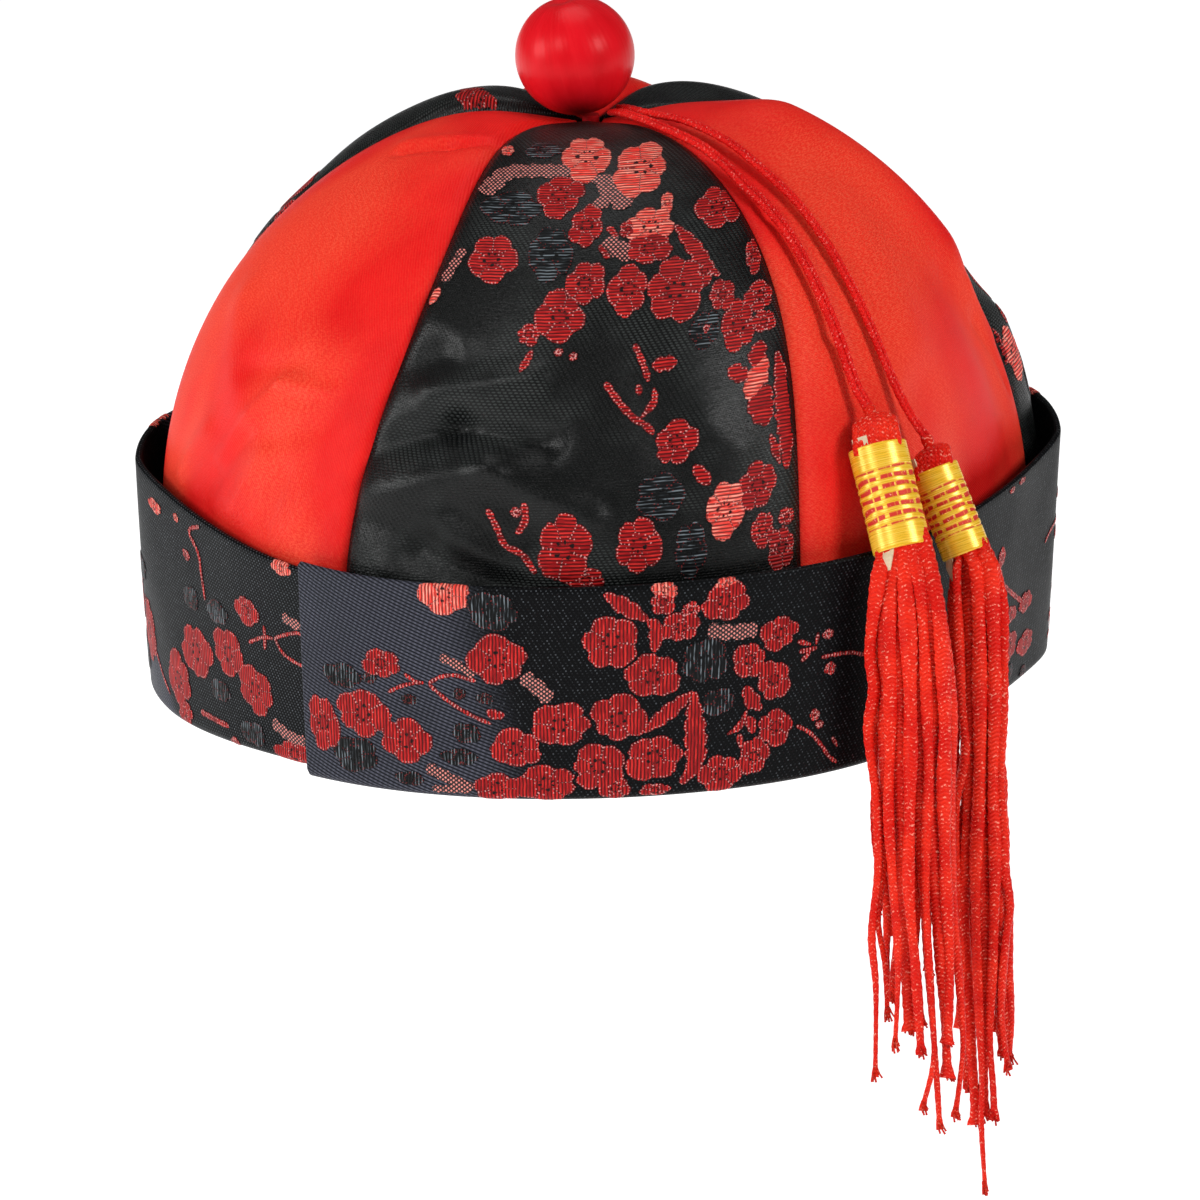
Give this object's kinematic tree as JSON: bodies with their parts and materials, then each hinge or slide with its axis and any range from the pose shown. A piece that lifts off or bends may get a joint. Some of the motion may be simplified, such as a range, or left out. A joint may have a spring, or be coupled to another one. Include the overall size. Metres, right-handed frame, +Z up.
{
  "type": "mandarin hat",
  "caption": "Round skull cap with panelled crown, turned-up cuff, ball button on top and corded tassels hanging at one side.",
  "frame": {"origin": "middle of the head opening, in the plane of the cuff's folded lower edge, where the hat sits on a head", "axes": "+Z up through the crown, -Y the way the wearer faces, +X towards the wearer's left, where the tassels hang"},
  "size_m": [0.2078, 0.1819, 0.2517],
  "materials": {
    "red_satin": "glossy satin weave",
    "black_brocade": "satin ground with raised red blossom floats",
    "cuff_brocade": "stiffened twill ground with raised red blossom floats",
    "button_thread": "silky thread wound over a bead",
    "red_cord": "knitted silky cord",
    "tassel_yarn": "knitted silky yarn",
    "gold_winding": "glossy gold thread",
    "stiffener_card": "matte card"
  },
  "bodies": {
    "root": {"crown_gore_front": "black_brocade", "crown_gore_front_left": "red_satin", "crown_gore_back_left": "black_brocade", "crown_gore_back": "red_satin", "crown_gore_back_right": "black_brocade", "crown_gore_front_right": "red_satin", "cuff": "cuff_brocade", "top_button": "button_thread", "button_shank": "button_thread", "cord_1": "red_cord", "cord_2": "red_cord", "tassel_1_yarn": "tassel_yarn", "tassel_1_winding": "gold_winding", "tassel_1_stiffener": "stiffener_card", "tassel_2_yarn": "tassel_yarn", "tassel_2_winding": "gold_winding", "tassel_2_stiffener": "stiffener_card"}
  },
  "joints": []
}
